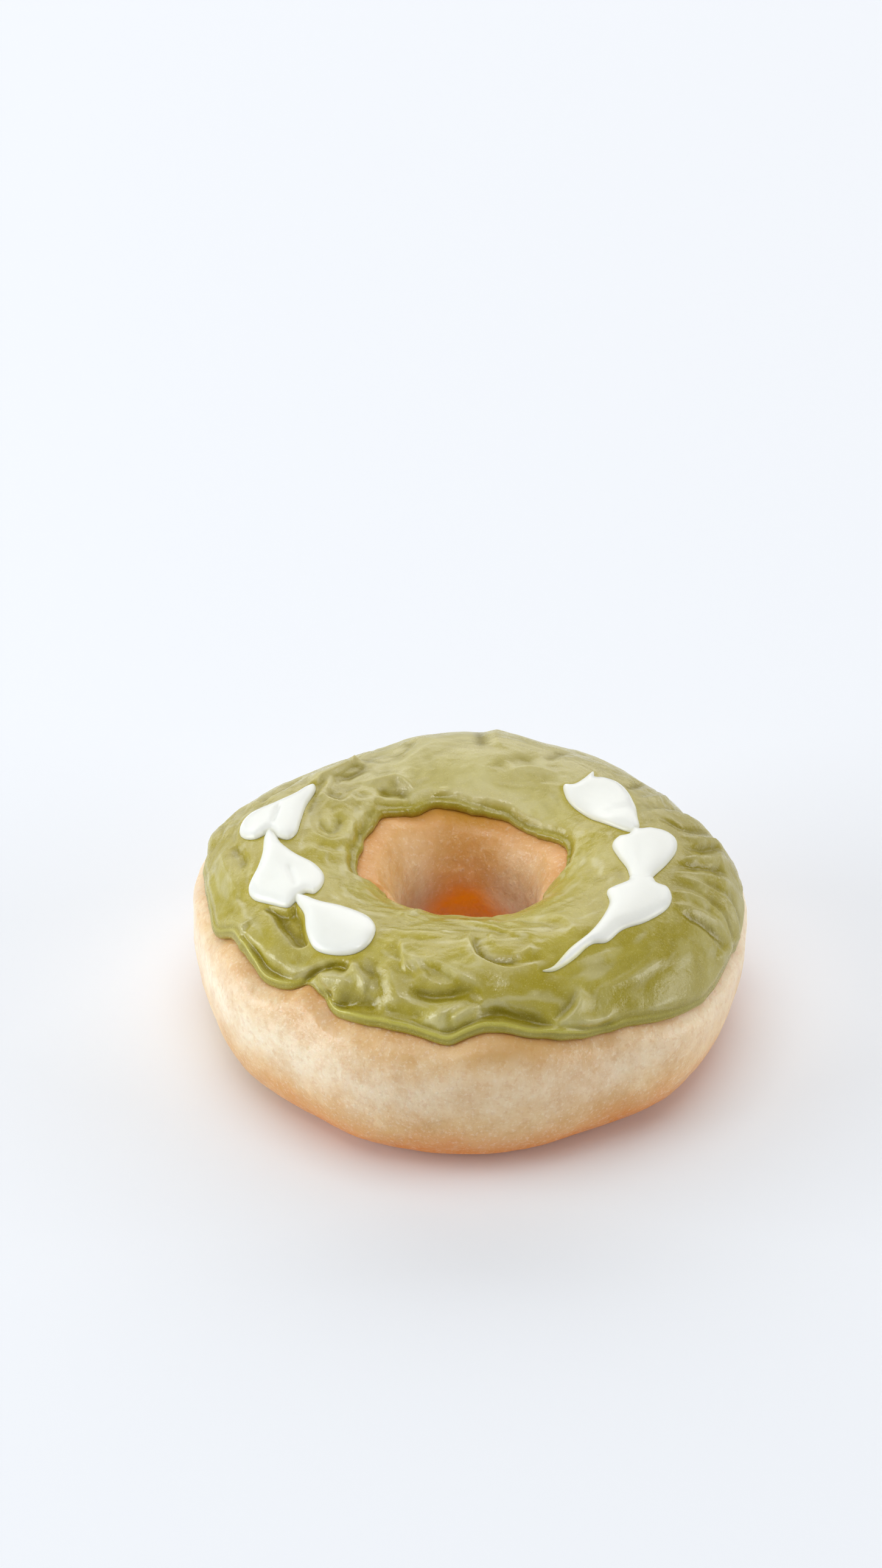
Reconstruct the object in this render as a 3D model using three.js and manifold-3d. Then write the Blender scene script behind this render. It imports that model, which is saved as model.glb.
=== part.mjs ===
// Ring doughnut: one baked dough ring, a coat of green icing over its top, and two
// piped chains of white icing hearts lying on the coat.
// Millimetres, +Z up. The ring rests on z = 0 and the hole runs along the Z axis.
// Angles: theta goes around the hole from +X, and phi goes around the ring's section,
// from 0 at the widest point outside, over 90 at the crown, to 180 inside the hole.

import * as THREE from 'three';
import { ParametricGeometry } from 'three/addons/geometries/ParametricGeometry.js';
import { mergeVertices } from 'three/addons/utils/BufferGeometryUtils.js';
import Module from 'manifold-3d';

const wasm = await Module();
wasm.setup();

const { degToRad, radToDeg, euclideanModulo, smoothstep } = THREE.MathUtils;

// ---------------------------------------------------------------- driving sizes

const ring = {
  outerRadius: 42.8,
  crownRadius: 27.7,
  holeRadius: 10,
  height: 31.6,
  widestHeight: 16.9,
  baseDip: 0.35, // the section runs this far below z = 0, and is cut flat there
};

// Superellipse exponents of the four quarters of the section: 2 is round, more is squarer.
const squareness = { outerTop: 1.81, outerBase: 2.86, innerTop: 2.2, innerBase: 2.4 };

const coat = {
  depth: 2.3, // the icing fills this much of the top of the section
  leadIn: 14, // degrees of phi outside the icing's edge where the dough starts to dip
  fullDepth: 8, // degrees of phi inside the edge where the dip is complete
  edgeRound: 3, // degrees of phi that the rounded edge takes
};

const piped = { thickness: 1.6 }; // white icing
const gap = 0.3; // between one solid and the next

const segments = { around: 80, dough: 34, coatTop: 16, coatUnder: 8, edge: 3 };

// ---------------------------------------------------------------- shape around the ring

// A smooth closed function of theta through [degrees, value] stops.
function aroundRing(stops) {
  const last = stops.length - 1;
  return (theta) => {
    const angle = euclideanModulo(radToDeg(theta) - stops[0][0], 360) + stops[0][0];
    let index = last;
    while (stops[index][0] > angle) index -= 1;
    const [startAngle, startValue] = stops[index];
    const [endAngle, endValue] = index < last ? stops[index + 1] : [stops[0][0] + 360, stops[0][1]];
    const share = smoothstep(angle, startAngle, endAngle);
    return startValue + (endValue - startValue) * share;
  };
}

// A hand-made ring is not quite even: its outer radius and its height wander a little.
const radiusWander = aroundRing([
  [0, 1], [11, 1.4], [22, -0.4], [32, -0.5], [50, -0.2], [90, 0.5], [125, -0.4], [150, 0.3],
  [164, 1.6], [178, 0.7], [193, -0.4], [213, 0.2], [233, -0.3], [247, 1], [266, 1.3],
  [283, 0.6], [300, -0.6], [318, 1.1], [332, 0.5], [346, 0.1],
]);
const heightWander = aroundRing([
  [4, 0], [16, 0.3], [28, -0.5], [52, -0.6], [66, -0.2], [84, 0.5], [105, 0], [119, -1],
  [142, 0.1], [163, 0.7], [200, 0], [240, 0.6], [270, 1], [305, 0.6], [340, 0],
]);

// Where the icing ends, in degrees of phi: towards the outside and towards the hole.
const coatOuterEdge = aroundRing([
  [0, 12], [14, 20], [30, 19], [50, 24], [104, 24], [140, 23], [160, 27], [170, 23], [196, 26],
  [209, 39], [220, 34], [231, 43], [240, 36], [252, 37], [266, 33], [274, 39], [288, 30],
  [301, 23], [320, 15], [330, 10], [344, 11], [352, 7],
]);
const coatHoleEdge = aroundRing([
  [3, 139], [12, 135], [30, 132], [42, 135], [57, 137], [80, 135], [94, 132], [108, 126],
  [120, 125], [138, 120], [156, 125], [194, 127], [206, 137], [250, 138], [275, 141],
  [310, 140], [328, 146], [341, 150], [350, 149],
]);

// ---------------------------------------------------------------- shape of the section

function superPower(value, exponent) {
  return Math.sign(value) * Math.abs(value) ** (2 / exponent);
}

// Radius and height of the iced ring's section at theta and phi.
function sectionPoint(theta, phi) {
  const across = Math.cos(phi);
  const upward = Math.sin(phi);
  const outer = across >= 0;
  const top = upward >= 0;
  const exponent = outer
    ? (top ? squareness.outerTop : squareness.outerBase)
    : (top ? squareness.innerTop : squareness.innerBase);
  const reach = outer
    ? ring.outerRadius + radiusWander(theta) - ring.crownRadius
    : ring.crownRadius - ring.holeRadius;
  const rise = top
    ? ring.height + heightWander(theta) - ring.widestHeight
    : ring.widestHeight + ring.baseDip;
  const radius = ring.crownRadius + reach * superPower(across, exponent);
  const height = ring.widestHeight + rise * superPower(upward, exponent);
  return new THREE.Vector2(radius, height);
}

// The same point moved out of the section by offset, square to it, and cut off at the base.
function surfacePoint(theta, phi, offset, target) {
  const step = 0.01;
  const point = sectionPoint(theta, phi);
  const run = sectionPoint(theta, phi + step).sub(sectionPoint(theta, phi - step)).normalize();
  const radius = point.x + run.y * offset;
  const height = Math.max(0, point.y - run.x * offset);
  return target.set(radius * Math.cos(theta), radius * Math.sin(theta), height);
}

// How far the dough lies below the iced section, to make room for the coat.
function doughDip(theta, phi) {
  const angle = radToDeg(phi);
  const outerEdge = coatOuterEdge(theta);
  const holeEdge = coatHoleEdge(theta);
  const fromOutside = smoothstep(angle, outerEdge - coat.leadIn, outerEdge + coat.fullDepth);
  const fromHole = smoothstep(-angle, -holeEdge - coat.leadIn, -holeEdge + coat.fullDepth);
  return coat.depth * fromOutside * fromHole;
}

// ---------------------------------------------------------------- solids

// Vertices shared by neighbouring faces are merged, so the surface closes on itself.
function closedGeometry(geometry) {
  geometry.deleteAttribute('normal');
  geometry.deleteAttribute('uv');
  const merged = mergeVertices(geometry, 1e-3);
  merged.computeVertexNormals();
  return merged;
}

// A ring whose section is the closed loop of [phi in degrees, offset] that loopAt(theta)
// gives. The loop goes up the outside, over the top and back below.
function loopRing(loopAt) {
  const count = loopAt(0).length;
  const surface = (u, v, target) => {
    const theta = u * 2 * Math.PI;
    const [degrees, offset] = loopAt(theta)[Math.round(v * count) % count];
    surfacePoint(theta, degToRad(degrees), offset, target);
  };
  return closedGeometry(new ParametricGeometry(surface, segments.around, count));
}

// The dough: the whole section, dipped where the icing lies on it.
function doughLoop(theta) {
  const loop = [];
  for (let i = 0; i < segments.dough; i += 1) {
    const degrees = (360 * i) / segments.dough;
    loop.push([degrees, -doughDip(theta, degToRad(degrees))]);
  }
  return loop;
}

// A coat between two offsets, with rounded edges at the icing's outer and hole edges.
function coatLoop(theta, outerEdge, holeEdge, under, over) {
  const loop = [];
  const addRow = (from, to, count, offsetAt) => {
    for (let i = 0; i < count; i += 1) {
      const degrees = from + ((to - from) * i) / (count - 1);
      loop.push([degrees, offsetAt(theta, degToRad(degrees))]);
    }
  };
  const addEdge = (edge, outward, fromOffset, toOffset) => {
    const middle = (fromOffset + toOffset) / 2;
    const half = (fromOffset - toOffset) / 2;
    for (let i = 1; i < segments.edge; i += 1) {
      const turn = (Math.PI * i) / segments.edge;
      loop.push([edge + outward * coat.edgeRound * Math.sin(turn), middle + half * Math.cos(turn)]);
    }
  };
  const first = outerEdge + coat.edgeRound;
  const last = holeEdge - coat.edgeRound;
  addRow(first, last, segments.coatTop, over);
  addEdge(last, 1, over(theta, degToRad(last)), under(theta, degToRad(last)));
  addRow(last, first, segments.coatUnder, under);
  addEdge(first, -1, under(theta, degToRad(first)), over(theta, degToRad(first)));
  return loop;
}

const icingUnder = (theta, phi) => gap - doughDip(theta, phi);
const icingOver = () => 0;

function icingLoop(theta) {
  return coatLoop(theta, coatOuterEdge(theta), coatHoleEdge(theta), icingUnder, icingOver);
}

// A layer on top of the icing, from which the white shapes are cut.
function pipedLayerLoop(theta) {
  const under = () => icingOver() + gap;
  const over = () => icingOver() + gap + piped.thickness;
  return coatLoop(theta, 8, 160, under, over);
}

function toManifold(geometry) {
  const solid = geometry.index ? geometry : closedGeometry(geometry);
  return new wasm.Manifold(new wasm.Mesh({
    numProp: 3,
    vertProperties: Float32Array.from(solid.attributes.position.array),
    triVerts: Uint32Array.from(solid.index.array),
  }));
}

function fromManifold(solid) {
  const { vertProperties, triVerts } = solid.getMesh();
  const geometry = new THREE.BufferGeometry();
  geometry.setAttribute('position', new THREE.BufferAttribute(vertProperties, 3));
  geometry.setIndex(new THREE.BufferAttribute(triVerts, 1));
  geometry.computeVertexNormals();
  return geometry;
}

// An upright prism over a smooth closed outline, tall enough to pass through the ring.
function outlinePrism(outline) {
  const corners = outline.map(([x, y]) => new THREE.Vector3(x, y, 0));
  const curve = new THREE.CatmullRomCurve3(corners, true, 'centripetal');
  const shape = new THREE.Shape(curve.getPoints(2 * corners.length).map(({ x, y }) => new THREE.Vector2(x, y)));
  const prism = new THREE.ExtrudeGeometry(shape, { depth: 2 * ring.height, bevelEnabled: false });
  return toManifold(prism);
}

// A chain of piped shapes: the part of the layer that lies over any of the outlines.
function pipedChain(outlines) {
  const layer = toManifold(loopRing(pipedLayerLoop));
  const prisms = outlines.map(outlinePrism);
  const chain = prisms.reduce((joined, prism) => joined.add(prism));
  return fromManifold(chain.intersect(layer));
}

// ---------------------------------------------------------------- outlines seen from above

const leftHearts = [
  // a heart pulled out to a thin tip
  [
    [-24.1, 15.6], [-24, 13.4], [-25.2, 9.4], [-25.9, 5], [-26.4, 1.8], [-27.6, 0.2], [-29.2, 0.9],
    [-30.5, 2.9], [-31.5, 2.3], [-32.8, 2], [-34.4, 3.2], [-35.4, 5.6], [-35.1, 8.4],
    [-33.6, 10.2], [-31.4, 10.8], [-29.4, 11.6], [-27.2, 12.9], [-25.4, 14.9],
  ],
  // a heart hanging from the first one by its neck
  [
    [-30.6, 3.4], [-31.3, 1.5], [-31.4, -2.5], [-32, -5.6], [-33.2, -9.2], [-32.4, -12],
    [-29.8, -14.4], [-27.2, -16.3], [-26, -15.6], [-25.4, -14.4], [-24.4, -13.6],
    [-23.1, -13.8], [-22, -11.4], [-21.9, -8.4], [-23.4, -5.9], [-26.4, -3.6],
    [-28.6, -0.8], [-29.6, 1.8],
  ],
  // a single drop at the end of the chain
  [
    [-26, -14], [-25.7, -15.8], [-24.5, -18.6], [-24, -22.4], [-22.6, -25.6], [-19.5, -27.5],
    [-16.5, -28], [-14.4, -26.6], [-13.7, -23.4], [-15, -20.2], [-18.4, -17.7],
    [-22.2, -16.2], [-24.6, -14.4],
  ],
];

const rightHearts = [
  // a leaf with a short spike
  [
    [19.6, 21.4], [18.2, 19.6], [16.6, 18.1], [14.9, 18], [15.1, 15.5], [16.2, 13], [18.6, 9.6],
    [21, 6.3], [23.6, 4], [25.2, 3.2], [26.3, 4.2], [26.1, 7], [25.9, 11], [25, 15.5],
    [23.6, 18.3], [21.5, 19.6], [19.9, 19.8],
  ],
  // a heart narrowing to a neck
  [
    [25.4, 3.9], [24.6, 2.6], [23, 2.3], [22, 0.4], [22.8, -3], [24, -6.4], [24.5, -9.6],
    [25, -11.4], [27.2, -11.2], [28, -8.6], [30, -5.2], [31.6, -1.4], [31.9, 1.8],
    [30.6, 3.4], [28, 3.9], [26.6, 3.7],
  ],
  // a heart that runs out in a long tail
  [
    [24.6, -8.8], [24, -10.2], [21.6, -11.8], [20.8, -13], [21.1, -16], [20, -19.8], [18, -23.6],
    [15, -27.2], [12.6, -30.6], [10.8, -31.8], [12.8, -31.4], [15.6, -29], [18.2, -25.9],
    [20.6, -24.9], [23, -22], [26.4, -19.5], [29.4, -16], [30.5, -13], [30, -10.7],
    [28.4, -10.2], [27.6, -8.8],
  ],
];

// ---------------------------------------------------------------- materials and pieces

const doughMaterial = new THREE.MeshStandardMaterial({ color: 0xe0bb8c, roughness: 0.75, metalness: 0 });
const greenMaterial = new THREE.MeshStandardMaterial({ color: 0xb9ae70, roughness: 0.4, metalness: 0 });
const whiteMaterial = new THREE.MeshStandardMaterial({ color: 0xf3f2ea, roughness: 0.25, metalness: 0 });

function piece(name, geometry, material) {
  const mesh = new THREE.Mesh(geometry, material);
  mesh.name = name;
  return mesh;
}

const doughnut = new THREE.Group();
doughnut.add(piece('dough_ring', loopRing(doughLoop), doughMaterial));
doughnut.add(piece('green_icing', loopRing(icingLoop), greenMaterial));
doughnut.add(piece('white_icing_left', pipedChain(leftHearts), whiteMaterial));
doughnut.add(piece('white_icing_right', pipedChain(rightHearts), whiteMaterial));

export default doughnut;
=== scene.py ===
"""Ring doughnut with green icing and two piped chains of white icing hearts.

Lengths are millimetres until a mesh is made, and the ring rests on z = 0 with its hole along Z.
theta goes around the hole from +X. phi goes around the ring's section, from 0 at the widest
point outside, over 90 at the crown, to 180 inside the hole.
"""

import math

import bpy
import numpy as np
import openvdb
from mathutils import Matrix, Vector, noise


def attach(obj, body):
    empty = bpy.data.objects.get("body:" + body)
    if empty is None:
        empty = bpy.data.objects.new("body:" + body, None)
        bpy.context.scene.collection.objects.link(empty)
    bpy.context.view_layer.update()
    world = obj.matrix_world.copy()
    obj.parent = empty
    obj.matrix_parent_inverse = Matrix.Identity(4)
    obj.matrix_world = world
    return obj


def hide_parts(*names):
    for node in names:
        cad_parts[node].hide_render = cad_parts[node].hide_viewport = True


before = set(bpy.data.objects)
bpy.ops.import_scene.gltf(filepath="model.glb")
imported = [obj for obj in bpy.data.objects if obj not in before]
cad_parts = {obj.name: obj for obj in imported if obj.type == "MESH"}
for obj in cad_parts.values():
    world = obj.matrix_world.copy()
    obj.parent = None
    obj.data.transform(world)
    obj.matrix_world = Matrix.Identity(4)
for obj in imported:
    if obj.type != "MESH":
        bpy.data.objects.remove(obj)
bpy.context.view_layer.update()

MM = 0.001

# ---------------------------------------------------------------- driving sizes

OUTER_RADIUS = 42.8
CROWN_RADIUS = 27.7
HOLE_RADIUS = 10.0
HEIGHT = 31.6
WIDEST_HEIGHT = 16.9
BASE_DIP = 0.35
SQUARENESS = {"outer_top": 1.81, "outer_base": 2.86, "inner_top": 2.2, "inner_base": 2.4}

COAT_DEPTH = 2.3
COAT_LEAD_IN = 14.0
COAT_FULL_DEPTH = 8.0
SECTION_RADIUS = 16.0  # a round section of about this radius turns phi into millimetres


# ---------------------------------------------------------------- helpers for shapes

def smoothstep(value, low, high):
    share = np.clip((value - low) / (high - low), 0.0, 1.0)
    return share * share * (3.0 - 2.0 * share)


def around_ring(stops):
    """A smooth closed function of theta through (degrees, value) stops."""
    angles = np.array([stop[0] for stop in stops], dtype=float)
    values = np.array([stop[1] for stop in stops], dtype=float)
    count = len(stops)
    before = np.roll(values, 1)
    after = np.roll(values, -1)
    angle_before = np.roll(angles, 1)
    angle_before[0] -= 360.0
    angle_after = np.roll(angles, -1)
    angle_after[-1] += 360.0
    slopes = (after - before) / (angle_after - angle_before)

    def value_at(theta):
        degrees = np.mod(np.degrees(theta) - angles[0], 360.0) + angles[0]
        start = np.clip(np.searchsorted(angles, degrees, side="right") - 1, 0, count - 1)
        end = (start + 1) % count
        span = angle_after[start] - angles[start]
        t = (degrees - angles[start]) / span
        return (
            values[start] * (2 * t**3 - 3 * t**2 + 1)
            + slopes[start] * span * (t**3 - 2 * t**2 + t)
            + values[end] * (3 * t**2 - 2 * t**3)
            + slopes[end] * span * (t**3 - t**2)
        )

    return value_at


def smooth_line(points, closed=False, steps=8):
    """Points on a Catmull-Rom spline through given points."""
    corners = np.array(points, dtype=float)
    if closed:
        padded = np.vstack([corners[-1], corners, corners[:2]])
    else:
        padded = np.vstack([2 * corners[0] - corners[1], corners, 2 * corners[-1] - corners[-2]])
    t = np.linspace(0.0, 1.0, steps, endpoint=False)[:, None]
    line = []
    for i in range(len(padded) - 3):
        p0, p1, p2, p3 = padded[i:i + 4]
        line.append(0.5 * (
            2 * p1 + (p2 - p0) * t
            + (2 * p0 - 5 * p1 + 4 * p2 - p3) * t**2
            + (3 * p1 - p0 - 3 * p2 + p3) * t**3
        ))
    if not closed:
        line.append(corners[-1:])
    return np.vstack(line)


def wander(points, size, offset=0.0):
    """Smooth noise of about -1 to 1, with lumps about size across."""
    scaled = (points / size + offset).reshape(-1, 3).tolist()
    return np.array([noise.noise(point) for point in scaled]).reshape(points.shape[:-1])


# ---------------------------------------------------------------- shape of the ring

radius_wander = around_ring([
    (0, 0.6), (11, 1.2), (22, -0.8), (32, -0.9), (50, -0.5), (90, 0.3), (125, -0.6), (150, 0.2),
    (164, 1.4), (178, 0.2), (193, -0.8), (213, -0.1), (233, -0.6), (247, 0.8), (266, 1.1),
    (283, 0.4), (300, -0.8), (318, 0.9), (332, 0.3), (346, -0.3),
])
height_wander = around_ring([
    (4, 0.0), (16, 0.3), (28, -0.6), (52, -0.7), (66, -0.3), (84, 0.4), (105, -0.1), (119, -1.1),
    (142, 0.0), (163, 0.6), (200, 0.0), (240, 0.5), (270, 0.9), (305, 0.5), (340, 0.0),
])


def super_power(value, exponent):
    return np.sign(value) * np.abs(value) ** (2.0 / exponent)


def section_point(theta, phi):
    """Radius and height of the iced ring's section."""
    across = np.cos(phi)
    upward = np.sin(phi)
    outer = across >= 0
    top = upward >= 0
    exponent = np.where(
        outer,
        np.where(top, SQUARENESS["outer_top"], SQUARENESS["outer_base"]),
        np.where(top, SQUARENESS["inner_top"], SQUARENESS["inner_base"]),
    )
    outward_reach = OUTER_RADIUS + radius_wander(theta) - CROWN_RADIUS
    reach = np.where(outer, outward_reach, CROWN_RADIUS - HOLE_RADIUS)
    rise = np.where(top, HEIGHT + height_wander(theta) - WIDEST_HEIGHT, WIDEST_HEIGHT + BASE_DIP)
    radius = CROWN_RADIUS + reach * super_power(across, exponent)
    height = WIDEST_HEIGHT + rise * super_power(upward, exponent)
    return radius, height


def section_frame(theta, phi):
    """Radius, height, and the outward direction across and up, at theta and phi."""
    step = 0.01
    radius, height = section_point(theta, phi)
    radius_ahead, height_ahead = section_point(theta, phi + step)
    radius_behind, height_behind = section_point(theta, phi - step)
    run = radius_ahead - radius_behind
    climb = height_ahead - height_behind
    length = np.hypot(run, climb)
    return radius, height, climb / length, -run / length


def surface_point(theta, phi, offset):
    """Points at a distance of offset from the iced section, cut off at the base."""
    radius, height, out, up = section_frame(theta, phi)
    radius = radius + out * offset
    height = np.maximum(height + up * offset, 0.0)
    return np.stack([radius * np.cos(theta), radius * np.sin(theta), height], axis=-1)


def phi_above(theta, radius):
    """The phi at which the section's upper half has this radius."""
    low = np.zeros_like(radius)
    high = np.full_like(radius, math.pi)
    for _ in range(28):
        middle = (low + high) / 2
        too_wide = section_point(theta, middle)[0] > radius
        low = np.where(too_wide, middle, low)
        high = np.where(too_wide, high, middle)
    return (low + high) / 2


# Where the green icing ends, in degrees of phi: towards the outside and towards the hole.
outer_edge = around_ring([
    (0, 8), (8, 14), (16, 18), (30, 18), (50, 24), (66, 22), (84, 28), (104, 22), (122, 27), (140, 21),
    (160, 26), (170, 21), (182, 25), (190, 25), (196, 24), (203, 36), (209, 38), (215, 36),
    (220, 32), (226, 35), (231, 43), (235, 40), (240, 34), (246, 35), (252, 36), (258, 35),
    (263, 32), (266, 31),
    (270, 35), (274, 38), (279, 36), (284, 31), (289, 28), (295, 23), (301, 21), (306, 22),
    (312, 19), (320, 14), (328, 8), (336, 8), (344, 8), (352, 3),
])
hole_edge = around_ring([
    (3, 140), (10, 136), (20, 133), (30, 132), (42, 136), (57, 138), (68, 136), (80, 136),
    (94, 133), (101, 130), (108, 127), (120, 126), (130, 123), (138, 121), (145, 124), (156, 127),
    (168, 128), (182, 127), (195, 127), (203, 141), (214, 137), (240, 139), (275, 142), (310, 141),
    (328, 150), (341, 159), (350, 155), (357, 147),
])
# The thickness of the green icing at its two edges.
edge_thickness = around_ring([
    (0, 1.1), (40, 1.3), (90, 1.6), (150, 1.5), (200, 1.4), (222, 1.2), (231, 1.0), (242, 0.8),
    (268, 0.8), (285, 0.9), (296, 1.3), (308, 1.1), (340, 1.1),
])
# The height of the rolled lip along the outer edge.
lip_height = around_ring([
    (0, 0.3), (90, 0.2), (180, 0.3), (200, 0.4), (207, 0.8), (222, 0.8), (230, 0.3), (236, 0.4),
    (241, 0.9), (262, 1.0), (270, 1.2), (285, 1.2), (292, 0.9), (298, 0.5), (305, 0.4), (330, 0.3),
])


def dough_dip(theta, phi):
    """How far the dough lies below the iced section, to make room for the coat."""
    angle = np.degrees(phi)
    outer = outer_edge(theta)
    hole = hole_edge(theta)
    from_outside = smoothstep(angle, outer - COAT_LEAD_IN, outer + COAT_FULL_DEPTH)
    from_hole = smoothstep(-angle, -hole - COAT_LEAD_IN, -hole + COAT_FULL_DEPTH)
    return COAT_DEPTH * from_outside * from_hole


# ---------------------------------------------------------------- outlines of the white icing

# Seen from above.
LEFT_HEARTS = [
    # a heart pulled out to a thin tip
    [
        (-24.1, 15.6), (-24, 13.4), (-25.2, 9.4), (-25.9, 5), (-26.4, 1.8), (-27.6, 0.2), (-29.2, 0.9),
        (-30.5, 2.9), (-31.5, 2.3), (-32.8, 2), (-34.4, 3.2), (-35.4, 5.6), (-35.1, 8.4),
        (-33.6, 10.2), (-31.4, 10.8), (-29.4, 11.6), (-27.2, 12.9), (-25.4, 14.9),
    ],
    # a heart hanging from the first one by its neck
    [
        (-30.6, 3.4), (-31.3, 1.5), (-31.4, -2.5), (-32, -5.6), (-33.2, -9.2), (-32.4, -12),
        (-29.8, -14.4), (-27.2, -16.3), (-26, -15.6), (-25.4, -14.4), (-24.4, -13.6),
        (-23.1, -13.8), (-22, -11.4), (-21.9, -8.4), (-23.4, -5.9), (-26.4, -3.6),
        (-28.6, -0.8), (-29.6, 1.8),
    ],
    # a single drop at the end of the chain
    [
        (-26, -14), (-25.7, -15.8), (-24.5, -18.6), (-24, -22.4), (-22.6, -25.6), (-19.5, -27.5),
        (-16.5, -28), (-14.4, -26.6), (-13.7, -23.4), (-15, -20.2), (-18.4, -17.7),
        (-22.2, -16.2), (-24.6, -14.4),
    ],
]
RIGHT_HEARTS = [
    # a leaf with a short spike
    [
        (19.6, 21.4), (18.2, 19.6), (16.6, 18.1), (14.9, 18), (15.1, 15.5), (16.2, 13), (18.6, 9.6),
        (21, 6.3), (23.6, 4), (25.2, 3.2), (26.3, 4.2), (26.1, 7), (25.9, 11), (25, 15.5),
        (23.6, 18.3), (21.5, 19.6), (19.9, 19.8),
    ],
    # a heart narrowing to a neck
    [
        (25.4, 3.9), (24.6, 2.6), (23, 2.3), (22, 0.4), (22.8, -3), (24, -6.4), (24.5, -9.6),
        (25, -11.4), (27.2, -11.2), (28, -8.6), (30, -5.2), (31.6, -1.4), (31.9, 1.8),
        (30.6, 3.4), (28, 3.9), (26.6, 3.7),
    ],
    # a heart that runs out in a long tail
    [
        (24.6, -8.8), (24, -10.2), (21.6, -11.8), (20.8, -13), (21.1, -16), (20, -19.8), (18, -23.6),
        (15, -27.2), (12.6, -30.6), (10.8, -31.8), (12.8, -31.4), (15.6, -29), (18.2, -25.9),
        (20.6, -24.9), (23, -22), (26.4, -19.5), (29.4, -16), (30.5, -13), (30, -10.7),
        (28.4, -10.2), (27.6, -8.8),
    ],
]
WHITE_LINES = [smooth_line(outline, closed=True, steps=5) for outline in LEFT_HEARTS + RIGHT_HEARTS]

# ---------------------------------------------------------------- relief of the green icing

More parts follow.
